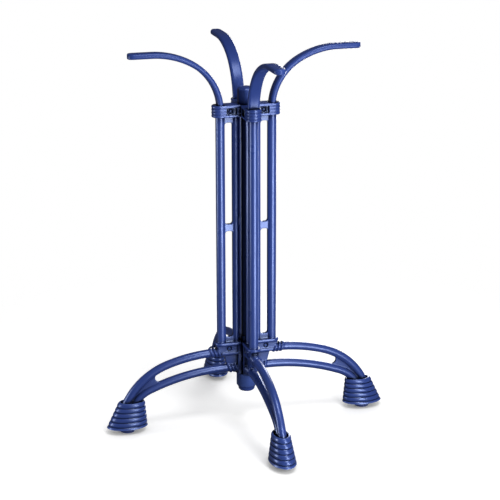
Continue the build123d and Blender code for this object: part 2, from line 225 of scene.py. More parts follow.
def close_up(piece: bpy.types.Object, join_within: float = 0.005) -> bpy.types.Object:
    """Cap open ends, merge doubles, turn the faces outwards and leave edit mode.

    Args:
        piece: An object in edit mode.
        join_within: Millimetres within which corners are one.

    Returns:
        The same object, in object mode.
    """
    bpy.ops.mesh.select_all(action="SELECT")
    bpy.ops.mesh.remove_doubles(threshold=join_within * MM)
    bpy.ops.mesh.select_all(action="SELECT")
    bpy.ops.mesh.fill_holes(sides=0)
    bpy.ops.mesh.select_all(action="SELECT")
    bpy.ops.mesh.normals_make_consistent(inside=False)
    bpy.ops.object.mode_set(mode="OBJECT")
    return piece


def finish_with(piece: bpy.types.Object, kind: str, **settings: object) -> None:
    """Add a modifier with its settings and apply it."""
    choose(piece)
    modifier = piece.modifiers.new(kind.lower(), kind)
    for key, value in settings.items():
        setattr(modifier, key, value)
    bpy.ops.object.modifier_apply(modifier=modifier.name)


def cut(piece: bpy.types.Object, tool: bpy.types.Object) -> None:
    """Cut one solid out of another and delete the first."""
    finish_with(piece, "BOOLEAN", operation="DIFFERENCE", solver="EXACT", object=tool)
    bpy.data.objects.remove(tool, do_unlink=True)


def join(pieces: Sequence[bpy.types.Object], name: str) -> bpy.types.Object:
    """Join objects into the first one and name it."""
    choose(pieces[0])
    for piece in pieces:
        piece.select_set(True)
    if len(pieces) > 1:
        bpy.ops.object.join()
    pieces[0].name = name
    pieces[0].data.name = name
    return pieces[0]


def box(
    name: str, low: Sequence[float], high: Sequence[float], edge: float = 0.0
) -> bpy.types.Object:
    """Make a block between two corners, with rounded edges.

    Args:
        name: The new object's name.
        low: Its lowest corner in millimetres.
        high: Its highest corner in millimetres.
        edge: The radius of its edges in millimetres.

    Returns:
        The block, in object mode.
    """
    middle = [(a + b) / 2 * MM for a, b in zip(low, high)]
    span = [(b - a) * MM for a, b in zip(low, high)]
    block = start(name, bpy.ops.mesh.primitive_cube_add, size=1, location=middle, scale=span)
    if edge:
        bpy.ops.mesh.bevel(offset=edge * MM, segments=3, affect="EDGES")
    return close_up(block)


def plate(name: str, outline: Sequence[Point], thickness: float) -> bpy.types.Object:
    """Make an upright plate about the XZ plane from the corners of its outline.

    Args:
        name: The new object's name.
        outline: Its corners as radius and height, in order.
        thickness: Its thickness in millimetres.

    Returns:
        The plate, in object mode.
    """
    sheet = circle(name, len(outline), 10.0, (0, 0, 0), ALONG_Y)
    for i, (r, z) in enumerate(outline):
        mesh = bmesh.from_edit_mesh(sheet.data)
        mesh.verts.ensure_lookup_table()
        bpy.ops.mesh.select_all(action="DESELECT")
        mesh.verts[i].select = True
        gap = Vector((r, -thickness / 2, z)) - mesh.verts[i].co / MM
        bmesh.update_edit_mesh(sheet.data)
        shift(*gap)
    bpy.ops.mesh.select_all(action="SELECT")
    extrude(0, thickness, 0)
    return close_up(sheet)


def quarters(piece: bpy.types.Object, stem: str) -> None:
    """Copy a finished quarter to the other three places, each with its own mesh.

    Args:
        piece: The piece drawn along +X.
        stem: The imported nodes' name without the quarter.
    """
    made = [piece if quarter is Quarter.RIGHT else duplicate(piece) for quarter in Quarter]
    for quarter, copy in zip(Quarter, made):
        copy.name = f"{stem}_{quarter.label}_dressed"
        copy.data.name = copy.name
        copy.data.transform(Matrix.Rotation(math.radians(quarter.value), 4, "Z"))
        settle(copy, f"{stem}_{quarter.label}")


def settle(piece: bpy.types.Object, *nodes: str) -> None:
    """Let a piece ride on the body, stand for its nodes, and report it."""
    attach(piece, "root")
    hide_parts(*nodes)
    faces = len(piece.data.polygons)
    LOG.info("%s: %d faces, stands for %s", piece.name, faces, ", ".join(nodes))


def smooth(piece: bpy.types.Object, angle: float = 35.0) -> None:
    """Shade a piece smoothly up to an angle between faces, in degrees."""
    choose(piece)
    bpy.ops.object.shade_smooth_by_angle(angle=math.radians(angle))


def dress(piece: bpy.types.Object, material: bpy.types.Material) -> None:
    """Give a piece one material."""
    piece.data.materials.clear()
    piece.data.materials.append(material)


# Finishes


def linear(code: str) -> tuple[float, float, float, float]:
    """Turn an sRGB hex colour into linear red, green, blue and alpha."""
    parts = [int(code[i : i + 2], 16) / 255 for i in (1, 3, 5)]
    levels = [v / 12.92 if v <= 0.04045 else ((v + 0.055) / 1.055) ** 2.4 for v in parts]
    return (*levels, 1.0)


def node(
    tree: bpy.types.NodeTree, kind: str, settings: dict | None = None, **inputs: object
) -> bpy.types.Node:
    """Add a node, set its properties, and set or link its inputs.

    Args:
        tree: The material's or world's node tree.
        kind: The node's type name.
        settings: The node's own properties by name.
        inputs: Values or output sockets by input name, with _ for a space, or in_N by its index.

    Returns:
        The new node.
    """
    made = tree.nodes.new(kind)
    for key, value in (settings or {}).items():
        setattr(made, key, value)
    for key, value in inputs.items():
        socket = made.inputs[int(key[3:]) if key.startswith("in_") else key.replace("_", " ")]
        if isinstance(value, bpy.types.NodeSocket):
            tree.links.new(value, socket)
        else:
            socket.default_value = value
    return made


def blank(name: str) -> tuple[bpy.types.Material, bpy.types.NodeTree]:
    """Make an empty node material."""
    material = bpy.data.materials.new(name)
    material.use_nodes = True
    material.node_tree.nodes.clear()
    return material, material.node_tree


@dataclass(frozen=True)
class StovedEnamel:
    """Blue gloss enamel, sprayed and stoved over iron.

    It gives the eye a deep even blue, faintly patchy, with soft broad highlights and a slight
    orange peel;
    painted shade makes the corners nearly black and the creases darker, and a painted highlight
    lays paler blue over the edges.
    """

    name: str
    body: str = "#334890"
    # darker blue for random patches of tone, and painted shade in concave creases
    patch_tone_and_crease_shade: str = "#26387E"
    # near-black painted shade in corners and recesses
    corner: str = "#04081C"
    # paler blue laid on convex edges: a painted highlight
    edge: str = "#506AB6"
    glint: str = "#B6CAFF"
    roughness: float = 0.3
    ior: float = 1.62
    gloss: float = 1.0
    peel: float = 2.2
    grain: float = 0.6
    peel_depth: float = 0.01
    grain_depth: float = 0.004
    patch: float = 45.0
    corner_shade_reach: float = 14.0
    corner_shade_full_at: float = 0.5
    corner_shade_none_at: float = 0.95
    edge_highlight_bend: Point = (0.515, 0.58)
    crease_shade_bend: Point = (0.49, 0.42)
    patch_span: Point = (0.3, 0.7)
    patch_tint: float = 0.3
    patch_sheen: Point = (-0.04, 0.05)
    grain_strength: float = 0.5
    peel_strength: float = 0.6

    def material(self) -> bpy.types.Material:
        """Build the node material.

        Returns:
            The finished material.
        """
        material, tree = blank(self.name)
        place = node(tree, "ShaderNodeTexCoord").outputs["Object"]
        # noise repeats about once in 1/scale metres
        patches, peel, grain = (
            node(tree, "ShaderNodeTexNoise", Vector=place, Scale=1 / (size * MM), Detail=detail)
            for size, detail in ((self.patch, 2.0), (self.peel, 1.0), (self.grain, 2.0))
        )
        # pointiness paints a highlight on convex edges and shade in concave creases
        bend = node(tree, "ShaderNodeNewGeometry").outputs["Pointiness"]
        edge_highlight, crease_shade = (
            node(tree, "ShaderNodeMapRange", Value=bend, From_Min=first, From_Max=last)
            for first, last in (self.edge_highlight_bend, self.crease_shade_bend)
        )
        thin, thick = self.patch_span
        uneven = {"Value": patches.outputs["Fac"], "From_Min": thin, "From_Max": thick}
        tone = node(tree, "ShaderNodeMapRange", **uneven, To_Max=self.patch_tint)
        # occlusion darkens the colour towards near-black in corners: painted shade
        corner_shade_ao = node(
            tree,
            "ShaderNodeAmbientOcclusion",
            {"samples": SHADE_RAYS},
            Distance=self.corner_shade_reach * MM,
        )
        depth = node(
            tree,
            "ShaderNodeMapRange",
            Value=corner_shade_ao.outputs["AO"],
            From_Min=self.corner_shade_full_at,
            From_Max=self.corner_shade_none_at,
            To_Min=1.0,
            To_Max=0.0,
        )
        colour = linear(self.body)
        # mixed in turn: random patches of tone, painted highlight on edges, painted shade in
        # creases, painted shade in corners
        for share, code in (
            (tone, self.patch_tone_and_crease_shade),
            (edge_highlight, self.edge),
            (crease_shade, self.patch_tone_and_crease_shade),
            (depth, self.corner),
        ):
            colour = node(
                tree,
                "ShaderNodeMix",
                {"data_type": "RGBA"},
                in_0=share.outputs["Result"],
                in_6=colour,
                in_7=linear(code),
            ).outputs[2]
        rough = node(
            tree,
            "ShaderNodeMapRange",
            **uneven,
            To_Min=self.roughness + self.patch_sheen[0],
            To_Max=self.roughness + self.patch_sheen[1],
        )
        fine = node(
            tree,
            "ShaderNodeBump",
            Strength=self.grain_strength,
            Distance=self.grain_depth * MM,
            Height=grain.outputs["Fac"],
        )
        relief = node(
            tree,
            "ShaderNodeBump",
            Strength=self.peel_strength,
            Distance=self.peel_depth * MM,
            Height=peel.outputs["Fac"],
            Normal=fine.outputs["Normal"],
        )
        shader = node(
            tree,
            "ShaderNodeBsdfPrincipled",
            Base_Color=colour,
            Roughness=rough.outputs["Result"],
            IOR=self.ior,
            Specular_IOR_Level=self.gloss,
            Specular_Tint=linear(self.glint),
            Normal=relief.outputs["Normal"],
        )
        node(tree, "ShaderNodeOutputMaterial", Surface=shader.outputs["BSDF"])
        return material


@dataclass(frozen=True)
class MouldedNylon:
    """Blue nylon, injection moulded, for the glides.

    It gives the eye a flat dull disc with a fine matt grain and pale scuffs.
    """

    name: str = "moulded_nylon_dark"
    body: str = "#3A4884"
    scuffed: str = "#5C689A"
    roughness: float = 0.5
    ior: float = 1.53
    grain: float = 0.8
    grain_depth: float = 0.04
    scuff: float = 9.0
    scuff_span: Point = (0.5, 0.75)
    scuff_share: float = 0.6
    grain_strength: float = 0.4

    def material(self) -> bpy.types.Material:
        """Build the node material.

        Returns:
            The finished material.
        """
        material, tree = blank(self.name)
        place = node(tree, "ShaderNodeTexCoord").outputs["Object"]
        grain, scuff = (
            node(tree, "ShaderNodeTexNoise", Vector=place, Scale=1 / (size * MM), Detail=detail)
            for size, detail in ((self.grain, 3.0), (self.scuff, 4.0))
        )
        share = node(
            tree,
            "ShaderNodeMapRange",
            Value=scuff.outputs["Fac"],
            From_Min=self.scuff_span[0],
            From_Max=self.scuff_span[1],
            To_Max=self.scuff_share,
        )
        colour = node(
            tree,
            "ShaderNodeMix",
            {"data_type": "RGBA"},
            in_0=share.outputs["Result"],
            in_6=linear(self.body),
            in_7=linear(self.scuffed),
        )
        relief = node(
            tree,
            "ShaderNodeBump",
            Strength=self.grain_strength,
            Distance=self.grain_depth * MM,
            Height=grain.outputs["Fac"],
        )
        shader = node(
            tree,
            "ShaderNodeBsdfPrincipled",
            Base_Color=colour.outputs[2],
            Roughness=self.roughness,
            IOR=self.ior,
            Normal=relief.outputs["Normal"],
        )
        node(tree, "ShaderNodeOutputMaterial", Surface=shader.outputs["BSDF"])
        return material


# Sub-assemblies


@dataclass
class LegCasting:
    """A leg frame: posts, beaded collar, pocketed bracket, ringed nozzles, two bars and a web."""

    outer_post_d: float = 17.0
    outer_post_r: float = 49.4
    inner_post_d: float = 12.8
    inner_post_r: float = 20.8
    bridge_t: float = 8.0
    mid_bridge_z: float = 384.9
    mid_bridge_h: float = 13.4
    top_bridge_h: float = 11.0
    bottom_bridge_h: float = 10.0
    opening_corner_r: float = 4.6
    inner_r: float = 12.0
    collar_top: float = 617.7
    collar_h: float = 22.6
    collar_w: float = 29.0
    collar_end_r: float = 65.0
    collar_beads: int = 4
    bead_depth: float = 1.9
    bead_shares: tuple[float, ...] = (0.0, 0.07, 0.2, 0.35, 0.5, 0.65, 0.8, 0.93)
    pocket_r: float = 20.5
    pocket_l: float = 20.0
    collar_cheek_w: float = 17.0
    collar_bolt_r: float = 31.5
    boss_d: float = 12.4
    boss_h: float = 1.6
    bracket_top: float = 160.0
    bracket_h: float = 65.0
    flange_t: float = 6.0
    flange_w: float = 24.6
    flange_end_r: float = 62.6
    flange_under: tuple[Point, ...] = ((0.0, 1.6), (0.5, 0.7), (1.4, 0.0))
    flange_over: tuple[Point, ...] = ((-1.6, 0.0), (-0.5, 0.6), (0.0, 1.7))
    pocket_h: float = 13.0
    bracket_cheek_w: float = 16.0
    rail_h: float = 5.5
    rail_w: float = 21.0
    rail_end_r: float = 51.0
    rib_w: float = 22.0
    rib_t: float = 7.5
    lower_web_t: float = 9.0
    bracket_bolt_r: float = 36.0
    bolt_hole_d: float = 4.6
    sink_d: float = 9.6
    sink_depth: float = 2.2
    slot_t: float = 6.4
    slot_h: float = 10.4
    slot_beyond: float = 8.2
    bar_d: float = 15.8
    upper_bar_z: float = 139.7
    lower_bar_z: float = 106.7
    upper_bow_start_r: float = 60.0
    upper_bow_angle: float = 18.0
    lower_bow_start_r: float = 42.0
    lower_bow_angle: float = 22.0
    foot_circle_r: float = 234.5
    foot_floor: float = 11.0
    bar_end_spacing: float = 15.6
    overrun: float = 17.5
    web_t: float = 6.0
    ring_count: int = 3
    ring_pitch: float = 6.7
    ring_stand: float = 2.5
    ring_lean: float = 22.0
    upper_ring_r: float = 55.5
    lower_ring_r: float = 21.0
    socket_r: float = 48.9
    socket_t: float = 11.1
    socket_w: float = 23.1
    socket_gap: float = 2.2
    socket_depth: float = 13.0
    stud_hole_d: float = 8.4
    stud_hole_h: float = 25.2
    lap: float = 1.0
    post_lap: float = 4.0
    pocket_edge: float = 1.0
    socket_edge: float = 2.4
    socket_over: float = 5.0
    rail_edge: float = 1.2
    mitre_gap: float = 0.3
    mitre_block: float = 60.0
    mitre_tall: float = 2000.0
    run_in: float = 0.3
    gap_end_share: float = 0.86
    upper_web_shares: tuple[float, ...] = (0.11, 0.3, 0.45, 0.6, 0.8)
    lower_web_shares: tuple[float, ...] = (0.0, 0.2, 0.4, 0.7)
    hair: float = 0.05
    voxel: float = 0.6
    soften: float = 0.5
    soften_rounds: int = 5
    kept_share: float = 0.24

    @property
    def collar_bottom(self) -> float:
        """The height of the collar's underside."""
        return self.collar_top - self.collar_h

    @property
    def collar_bolt_z(self) -> float:
        """The height of the collar's bolt, at half the collar."""
        return self.collar_top - self.collar_h / 2

    @property
    def bracket_bolt_z(self) -> float:
        """The height of the bracket's bolt, at half the pocket."""
        return (self.flange_bottom + self.rail_top) / 2

    @property
    def flange_bottom(self) -> float:
        """The height of the flange's underside."""
        return self.bracket_top - self.flange_t

    @property
    def rail_top(self) -> float:
        """The height of the rail's upper face."""
        return self.flange_bottom - self.pocket_h

    @property
    def rail_bottom(self) -> float:
        """The height of the rail's underside."""
        return self.rail_top - self.rail_h

    @property
    def bracket_bottom(self) -> float:
        """The height of the bracket's underside."""
        return self.bracket_top - self.bracket_h

    def bow_and_knee(self, bow: Point, start_z: float, end: Point) -> Point:
        """Find the radii of a level bow and of the knee that it runs into, which ends upright.

        Args:
            bow: Where the bow starts, and its sweep in degrees.
            start_z: The height it starts at.
            end: Where the knee ends, as radius and height.

        Returns:
            The bow's radius and the knee's.
        """
        start_r, angle = bow
        rise, run = math.sin(math.radians(angle)), math.cos(math.radians(angle))
        share = (1 - rise) / run
        fall = start_z - end[1]
        bow_r = (end[0] - start_r - fall * share) / (rise - share * (1 - run))
        return bow_r, (fall - bow_r * (1 - run)) / run

    def post(self, r: float, d: float) -> bpy.types.Object:
        """Make one round post from the flange into the collar."""
        tube = circle("post", 56, d / 2, (r, 0, self.flange_bottom))
        extrude(0, 0, self.collar_bottom + self.post_lap - self.flange_bottom)
        return close_up(tube)

    def across(
        self, name: str, r: float, z: float, d: float, near: float, far: float
    ) -> bpy.types.Object:
        """Make a round plug along Y.

        Args:
            name: The new object's name.
            r: Its axis's distance from the centre line.
            z: Its axis's height.
            d: Its diameter.
            near: Where it starts along Y.
            far: Where it ends along Y.

        Returns:
            The plug, in object mode.
        """
        plug = circle(name, 40, d / 2, (r, near, z), ALONG_Y)
        extrude(0, far - near, 0)
        return close_up(plug)

    def mitre(self, solid: bpy.types.Object) -> None:
        """Cut a solid's inner corners off along the planes to the neighbouring quarters."""
        wide = self.mitre_block * MM
        off = self.mitre_block / 2 / math.sqrt(2)
        for side in (-1, 1):
            corner = start(
                "corner",
                bpy.ops.mesh.primitive_cube_add,
                size=1,
                scale=(wide, wide, self.mitre_tall * MM),
                location=((self.mitre_gap - off) * MM, side * off * MM, 0),
                rotation=(0, 0, side * math.pi / 4),
            )
            cut(solid, close_up(corner))

    def tongue_slot(self, solid: bpy.types.Object, bolt_r: float, z: float) -> None:
        """Cut the slot for a spider's tongue into a solid."""
        half_t, half_h = self.slot_t / 2, self.slot_h / 2
        low, high = (0, -half_t, z - half_h), (bolt_r + self.slot_beyond, half_t, z + half_h)
        cut(solid, box("tongue_slot", low, high))

    def sinks(self, solid: bpy.types.Object, bolt_r: float, z: float, cheek_w: float) -> None:
        """Cut the hole for a clamp bolt and the sinks for its head and nut into a solid."""
        cut(solid, self.across("bolt_hole", bolt_r, z, self.bolt_hole_d, -cheek_w, cheek_w))
        floor = cheek_w / 2 - self.sink_depth
        for side in (-1, 1):
            cut(solid, self.across("sink", bolt_r, z, self.sink_d, side * floor, side * cheek_w))

    def beaded_bar(
        self, name: str, end_r: float, width: float, layers: Iterable[Point]
    ) -> bpy.types.Object:
        """Make a level bar with a round outer end, its side following a profile.

        Args:
            name: The new object's name.
            end_r: How far out it reaches.
            width: Its full width.
            layers: Heights from below, each with how far the side stands back there.

        Returns:
            The bar, in object mode.
        """
        layers = list(layers)
        centre_r = end_r - width / 2
        bar = circle(name, 96, width / 2, (centre_r, 0, layers[0][0]))
        pick(bar, lambda place: place.x < centre_r - self.hair)
        scale((0, 1, 1), (centre_r, 0, layers[0][0]))
        shift(self.inner_r - centre_r, 0, 0)
        bpy.ops.mesh.select_all(action="SELECT")
        length = end_r - self.inner_r
        middle = (end_r + self.inner_r) / 2
        before = 0.0
        for i, (z, back) in enumerate(layers):
            if i:
                extrude(0, 0, z - layers[i - 1][0])
            grow_x = (length - 2 * back) / (length - 2 * before)
            grow_y = (width - 2 * back) / (width - 2 * before)
            scale((grow_x, grow_y, 1), (middle, 0, z))
            before = back
        return close_up(bar)

    def collar(self) -> bpy.types.Object:
        """Make the collar with its beads, clamp pockets, tongue slot and the arm's socket.

        Returns:
            The collar, in object mode.
        """
        bead_h = self.collar_h / self.collar_beads
        layers = []
        for bead in range(self.collar_beads):
            for share in self.bead_shares:
                back = stand_back(self.bead_depth, share)
                layers.append((self.collar_bottom + (bead + share) * bead_h, back))
        layers.append((self.collar_top, self.bead_depth))
        collar = self.beaded_bar("collar", self.collar_end_r, self.collar_w, layers)
        mid = self.collar_bolt_z
        half_h = bead_h + self.bead_depth / 2
        for side in (-1, 1):
            near = side * self.collar_cheek_w / 2
            far = side * self.collar_w
            low = (self.pocket_r, min(near, far), mid - half_h)
            high = (self.pocket_r + self.pocket_l, max(near, far), mid + half_h)
            cut(collar, box("pocket", low, high, self.pocket_edge))
        out = self.socket_t / 2
        bottom = self.collar_top - self.socket_depth
        low = (self.socket_r - out, -self.socket_w / 2, bottom)
        top = self.collar_top + self.socket_over
        high = (self.socket_r + out + self.socket_gap, self.socket_w / 2, top)
        cut(collar, box("socket", low, high, self.socket_edge))
        self.mitre(collar)
        self.tongue_slot(collar, self.collar_bolt_r, mid)
        out = self.collar_cheek_w / 2
        for side in (-1, 1):
            ends = side * (out - self.lap), side * (out + self.boss_h)
            boss = self.across("boss", self.collar_bolt_r, mid, self.boss_d, *ends)
            finish_with(collar, "BOOLEAN", operation="UNION", solver="EXACT", object=boss)
            bpy.data.objects.remove(boss, do_unlink=True)
        self.sinks(collar, self.collar_bolt_r, mid, self.collar_cheek_w)
        return collar

    def bridges(self) -> bpy.types.Object:
        """Make the plate between the posts, with its two slots.

        Returns:
            The plate, in object mode.
        """
        inner_edge = self.inner_post_r + self.inner_post_d / 2
        outer_edge = self.outer_post_r - self.outer_post_d / 2
        half_t = self.bridge_t / 2
        bridge = box(
            "bridge",
            (self.inner_post_r, -half_t, self.flange_bottom),
            (self.outer_post_r, half_t, self.collar_bottom + self.post_lap),
        )
        spans = (
            (self.bracket_top + self.bottom_bridge_h, self.mid_bridge_z - self.mid_bridge_h / 2),
            (self.mid_bridge_z + self.mid_bridge_h / 2, self.collar_bottom - self.top_bridge_h),
        )
        for low, high in spans:
            middle = ((inner_edge + outer_edge) / 2, -2 * half_t, (low + high) / 2)
            slot = start(
                "slot",
                bpy.ops.mesh.primitive_plane_add,
                size=1,
                location=tuple(v * MM for v in middle),
                rotation=ALONG_Y,
            )
            # a little wider than the gap, so that the slot's sides run into the posts
            width = outer_edge - inner_edge + 2 * self.run_in
            scale((width * MM, 1, (high - low) * MM), middle)
            round_corners(self.opening_corner_r, 8)
            extrude(0, 4 * half_t, 0)
            cut(bridge, close_up(slot))
        return bridge

    def bracket(self) -> list[bpy.types.Object]:
        """Make the bracket's flange, cheek, rail, rib and lower web.

        Returns:
            The solids, which the casting fuses.
        """
        low, top = self.flange_bottom, self.bracket_top
        edge = [(low + rise, back) for rise, back in self.flange_under]
        edge += [(top + rise, back) for rise, back in self.flange_over]
        flange = self.beaded_bar("flange", self.flange_end_r, self.flange_w, edge)
        cheek_end_r = self.rail_end_r + (low - self.rail_bottom) / 2
        cheek = plate(
            "cheek",
            [
                (self.inner_r, self.rail_bottom),
                (self.inner_r, low + self.lap),
                (cheek_end_r, low + self.lap),
                (self.rail_end_r, self.rail_bottom),
            ],
            self.bracket_cheek_w,
        )
        nozzle_end_r = self.lower_ring_r + (self.ring_count - 0.5) * self.ring_pitch
        lower_web = plate(
            "lower_web",
            [
                (self.inner_r, self.bracket_bottom),
                (self.inner_r, self.rail_bottom + self.lap),
                (self.rail_end_r - self.rail_h, self.rail_bottom + self.lap),
                (nozzle_end_r, self.lower_bar_z),
                (self.inner_r + self.rib_t, self.bracket_bottom),
            ],
            self.lower_web_t,
        )
        half = self.rail_w / 2
        rail = box(
            "rail",
            (self.inner_r, -half, self.rail_bottom),
            (self.rail_end_r, half, self.rail_top),
            self.rail_edge,
        )
        half = self.rib_w / 2
        rib = box(
            "rib",
            (self.inner_r, -half, self.bracket_bottom),
            (self.inner_r + self.rib_t, half, low + self.lap),
            self.rail_edge,
        )
        for solid in (cheek, rib):
            self.tongue_slot(solid, self.bracket_bolt_r, self.bracket_bolt_z)
        self.sinks(cheek, self.bracket_bolt_r, self.bracket_bolt_z, self.bracket_cheek_w)
        for solid in (flange, rail, rib):
            self.mitre(solid)
        return [flange, cheek, lower_web, rail, rib]

    def bar(
        self, first_r: float, z: float, bow: Point, radii: Point, end: Point
    ) -> bpy.types.Object:
        """Sweep one leg bar: level, along its bow, then round its knee into the foot.

        Args:
            first_r: Where it starts in the bracket.
            z: The height of its level part.
            bow: Where the bow starts, and its sweep in degrees.
            radii: The radii of the bow and the knee.
            end: Where it ends, as radius and height.

        Returns:
            The bar, in object mode.
        """
        rod = circle("leg_bar", 48, self.bar_d / 2, (first_r, 0, z), ALONG_X)
        bow_start, angle = bow
        extrude(bow_start - first_r, 0, 0)
        spin_up((bow_start, z - radii[0]), angle, 20)
        spin_up((end[0] - radii[1], end[1]), 90 - angle, 28)
        return close_up(rod)

    def bars(self) -> list[bpy.types.Object]:
        """Make both leg bars and the web that joins them above the foot.

        Returns:
            The solids, which the casting fuses.
        """
        upper_end = (self.foot_circle_r + self.bar_end_spacing, self.foot_floor - self.overrun)
        lower_end = (self.foot_circle_r, self.foot_floor)
        upper_bow = (self.upper_bow_start_r, self.upper_bow_angle)
        lower_bow = (self.lower_bow_start_r, self.lower_bow_angle)
        upper = self.bow_and_knee(upper_bow, self.upper_bar_z, upper_end)
        lower = self.bow_and_knee(lower_bow, self.lower_bar_z, lower_end)
        lower_first_r = self.inner_r + self.rib_t / 2
        upper_bar = self.bar(self.inner_post_r, self.upper_bar_z, upper_bow, upper, upper_end)
        lower_bar = self.bar(lower_first_r, self.lower_bar_z, lower_bow, lower, lower_end)
        self.tongue_slot(upper_bar, self.bracket_bolt_r, self.bracket_bolt_z)
        self.sinks(upper_bar, self.bracket_bolt_r, self.bracket_bolt_z, self.bracket_cheek_w)
        far = self.foot_circle_r + 2 * self.bar_d
        cut(upper_bar, box("under", (0, -far, -far), (2 * far, far, self.foot_floor)))
        stud_foot = (self.foot_circle_r, 0, self.foot_floor - self.lap)
        stud_hole = circle("stud_hole", 32, self.stud_hole_d / 2, stud_foot)
        extrude(0, 0, self.stud_hole_h + self.lap)
        cut(lower_bar, close_up(stud_hole))

        def on_knee(radius: float, end: Point, angle: float, share: float) -> Point:
            """Return a place on a knee's centre line, a share of the way round it."""
            turn = math.radians((90 - angle) * (1 - share))
            return end[0] - radius + radius * math.cos(turn), end[1] + radius * math.sin(turn)

        bow_turn = math.radians(self.lower_bow_angle * self.gap_end_share)
        lower_first = (
            self.lower_bow_start_r + lower[0] * math.sin(bow_turn),
            self.lower_bar_z - lower[0] * (1 - math.cos(bow_turn)),
        )
        upper_edge = [
            on_knee(upper[1], upper_end, self.upper_bow_angle, share)
            for share in self.upper_web_shares
        ]
        lower_edge = [lower_first] + [
            on_knee(lower[1], lower_end, self.lower_bow_angle, share)
            for share in self.lower_web_shares
        ]
        web = plate("web", upper_edge + lower_edge[::-1], self.web_t)
        gap_mid = [(a + b) / 2 for a, b in zip(upper_edge[0], lower_edge[0])]
        gap_d = math.dist(upper_edge[0], lower_edge[0]) - self.bar_d + 2 * self.run_in
        cut(web, self.across("gap_end", *gap_mid, gap_d, -self.web_t, self.web_t))
        return [upper_bar, lower_bar, web]

    def nozzle_rings(self) -> list[bpy.types.Object]:
        """Make the rounded rings that lean round each bar where it leaves the bracket.

        Returns:
            The rings, which the casting fuses.
        """
        rings = []
        thick = self.ring_pitch * math.cos(math.radians(self.ring_lean)) / 2
        upper = (self.upper_ring_r, self.upper_bar_z)
        lower = (self.lower_ring_r, self.lower_bar_z)
        for first_r, z in (upper, lower):
            for i in range(self.ring_count):
                ring = start(
                    "ring",
                    bpy.ops.mesh.primitive_torus_add,
                    major_radius=(self.bar_d / 2 + self.ring_stand - thick) * MM,
                    minor_radius=thick * MM,
                    major_segments=56,
                    minor_segments=20,
                    location=((first_r + i * self.ring_pitch) * MM, 0, z * MM),
                    rotation=(0, math.pi / 2 + math.radians(self.ring_lean), 0),
                )
                rings.append(close_up(ring))
        return rings

    def build(self, paint: bpy.types.Material) -> None:
        """Model the casting once, fuse it with soft inside corners, and copy it to its places.

        Args:
            paint: The finish.
        """
        solids = [self.collar(), self.bridges(), *self.bracket(), *self.bars()]
        solids += self.nozzle_rings()
        solids.append(self.post(self.outer_post_r, self.outer_post_d))
        solids.append(self.post(self.inner_post_r, self.inner_post_d))
        casting = join(solids, "leg_casting")
        finish_with(casting, "REMESH", mode="VOXEL", voxel_size=self.voxel * MM)
        finish_with(casting, "SMOOTH", factor=self.soften, iterations=self.soften_rounds)
        smooth(casting, angle=50)
        dense = duplicate(casting)
        finish_with(casting, "DECIMATE", ratio=self.kept_share)
        # the thinned mesh keeps the shading of the dense one, so its gloss runs evenly
        finish_with(
            casting,
            "DATA_TRANSFER",
            object=dense,
            use_loop_data=True,
            data_types_loops={"CUSTOM_NORMAL"},
            loop_mapping="POLYINTERP_NEAREST",
        )
        bpy.data.objects.remove(dense, do_unlink=True)
        dress(casting, paint)
        quarters(casting, "leg_frame")


@dataclass
class TopArm:
    """A flat bar with rounded edges that stands in the collar and bends out to carry the top."""

    width: float = 22.5
    thickness: float = 10.5
    edge: float = 4.7
    root_r: float = 48.9
    bottom: float = 604.7
    straight: float = 2.0
    bend_l: float = 125.8
    outer_bend_r: float = 150.0
    reach: float = 219.0
    top: float = 720.0
    tip_steps: int = 9
    tip_turn: float = 88.0
    tip_thinning: float = 0.6

    def build(self, paint: bpy.types.Material) -> None:
        """Sweep the bar round its two bends, round its tip, and copy it to its places.

        Args:
            paint: The finish.
        """
        arm = start(
            "top_arm",
            bpy.ops.mesh.primitive_plane_add,
            size=1,
            location=(self.root_r * MM, 0, self.bottom * MM),
        )
        scale((self.thickness * MM, self.width * MM, 1), (self.root_r, 0, self.bottom))
        round_corners(self.edge, 9)
        extrude(0, 0, self.straight)
        bend_z = self.bottom + self.straight
        level_z = self.top - self.thickness / 2
        rise = level_z - bend_z
        spare = rise**2 + self.bend_l**2 - 2 * rise * self.outer_bend_r
        root_bend_r = spare / (2 * (self.bend_l - self.outer_bend_r))
        lean = (self.bend_l - root_bend_r) / (self.outer_bend_r - root_bend_r)
        turn = math.degrees(math.asin(lean))
        spin_up((self.root_r + root_bend_r, bend_z), 90 - turn, 30)
        spin_up((self.root_r + self.bend_l, level_z - self.outer_bend_r), turn, 20)
        tip_r = self.reach - self.width / 2
        extrude(tip_r - self.root_r - self.bend_l, 0, 0)
        wide, thick, along = 1.0, 1.0, 0.0
        for step in range(1, self.tip_steps + 1):
            turn_on = math.radians(self.tip_turn * step / self.tip_steps)
            new_wide = math.cos(turn_on)
            new_thick = 1 - self.tip_thinning * (1 - new_wide) ** 3
            new_along = self.width / 2 * math.sin(turn_on)
            extrude(new_along - along, 0, 0)
            scale((1, new_wide / wide, new_thick / thick), (tip_r + new_along, 0, level_z))
            wide, thick, along = new_wide, new_thick, new_along
        close_up(arm)
        smooth(arm, angle=50)
        dress(arm, paint)
        quarters(arm, "top_arm")


